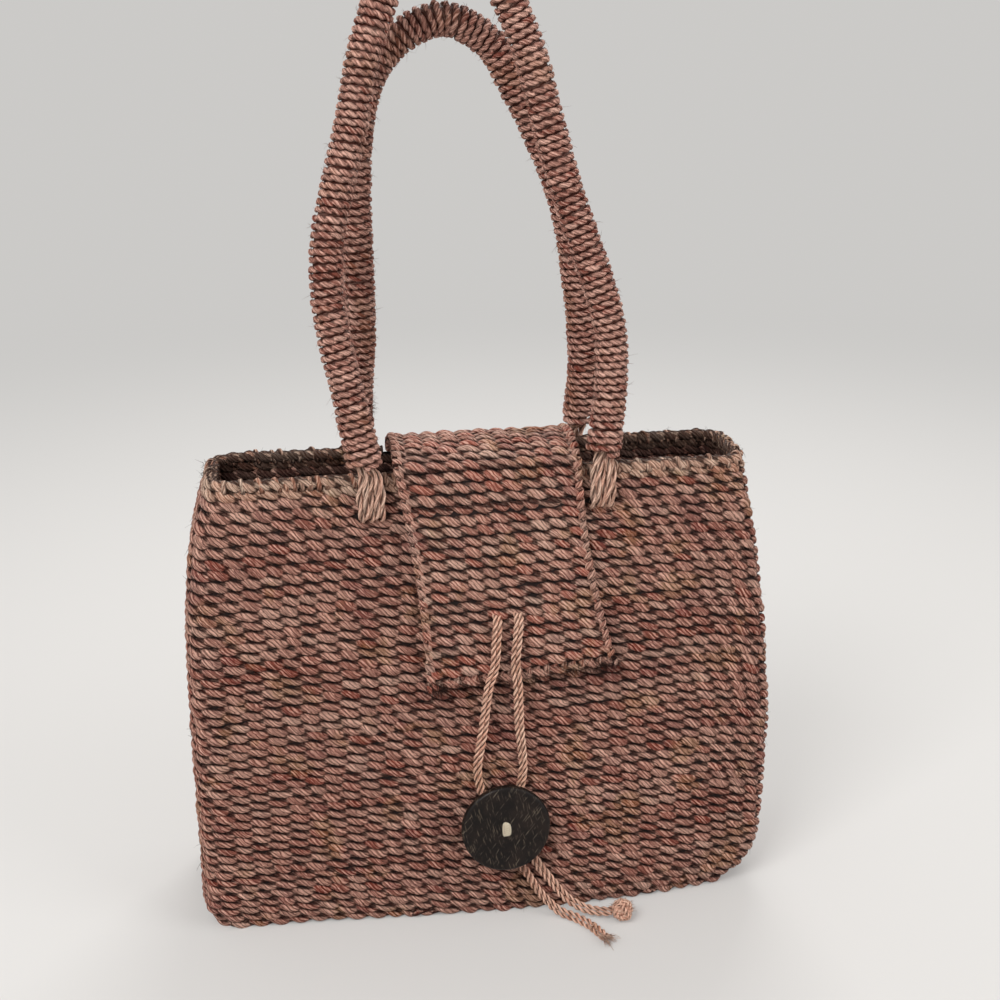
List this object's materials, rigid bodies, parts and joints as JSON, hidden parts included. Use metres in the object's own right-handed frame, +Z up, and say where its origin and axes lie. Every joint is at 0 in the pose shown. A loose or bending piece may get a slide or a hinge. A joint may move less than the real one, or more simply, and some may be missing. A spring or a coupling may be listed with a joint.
{
  "type": "woven straw tote bag",
  "caption": "Flat-based tote bag of twined straw rope with a fold-over flap, cord-wrapped loop handles and a cord closure that holds behind a coconut-shell button.",
  "frame": {"origin": "middle of the bag's foot, on the ground under the base", "axes": "+Z up, -Y to the front with the flap and button, +X to the right seen from the front"},
  "size_m": [0.2935, 0.1376, 0.4674],
  "materials": {
    "weave": "twined dyed straw rope, dusty rose-brown",
    "rim": "bound straw border with turned-down ends",
    "flap": "twined dyed straw rope, dusty rose-brown",
    "handle_wrap": "wound two-ply straw cord",
    "handle_core": "bundled straw fibre",
    "tie": "loose straw fibre bundle",
    "button": "satin coconut shell",
    "thread": "cream sewing cord",
    "cord": "two-ply straw cord"
  },
  "bodies": {
    "bag": {"base_panel": "weave", "front_wall": "weave", "back_wall": "weave", "right_gusset": "weave", "left_gusset": "weave", "front_rim": "rim", "right_rim": "rim", "left_rim": "rim", "back_rim_right": "rim", "back_rim_left": "rim", "thread_knot": "thread", "front_left_tie": "tie", "front_right_tie": "tie", "back_left_tie": "tie", "back_right_tie": "tie"},
    "flap_top": {"flap_top": "flap"},
    "flap_front": {"flap_front": "flap", "closure_bridge": "cord"},
    "closure": {"closure_cord_left": "cord", "closure_cord_right": "cord", "closure_knot": "cord"},
    "front_handle": {"front_handle_core": "handle_core", "front_handle_wrap": "handle_wrap"},
    "back_handle": {"back_handle_core": "handle_core", "back_handle_wrap": "handle_wrap"},
    "button": {"button": "button", "button_thread": "thread"}
  },
  "joints": [
    {"name": "flap_lift", "type": "hinge", "parent": "bag", "child": "flap_top", "pos_m": [0.0015, 0.0235, 0.228], "axis": [-1, 0, 0], "range_deg": [0, 90]},
    {"name": "flap_unfold", "type": "hinge", "parent": "flap_top", "child": "flap_front", "pos_m": [0.0015, -0.03005, 0.2314], "axis": [-1, 0, 0], "range_deg": [0, 90]},
    {"name": "closure_swing", "type": "hinge", "parent": "flap_front", "child": "closure", "pos_m": [0.0081, -0.0425, 0.159], "axis": [-1, 0, 0], "range_deg": [0, 90], "deforming": ["closure_cord_left", "closure_cord_right"]},
    {"name": "front_handle_swing", "type": "hinge", "parent": "bag", "child": "front_handle", "pos_m": [0, -0.03, 0.24], "axis": [1, 0, 0], "range_deg": [0, 150], "deforming": ["front_left_tie", "front_right_tie"]},
    {"name": "back_handle_swing", "type": "hinge", "parent": "bag", "child": "back_handle", "pos_m": [0, 0.03, 0.24], "axis": [-1, 0, 0], "range_deg": [0, 150], "deforming": ["back_left_tie", "back_right_tie"]},
    {"name": "button_turn", "type": "hinge", "parent": "bag", "child": "button", "pos_m": [0.004, -0.05879, 0.0533], "axis": [0, -0.9925, 0.1219], "range_deg": [-30, 30]}
  ]
}
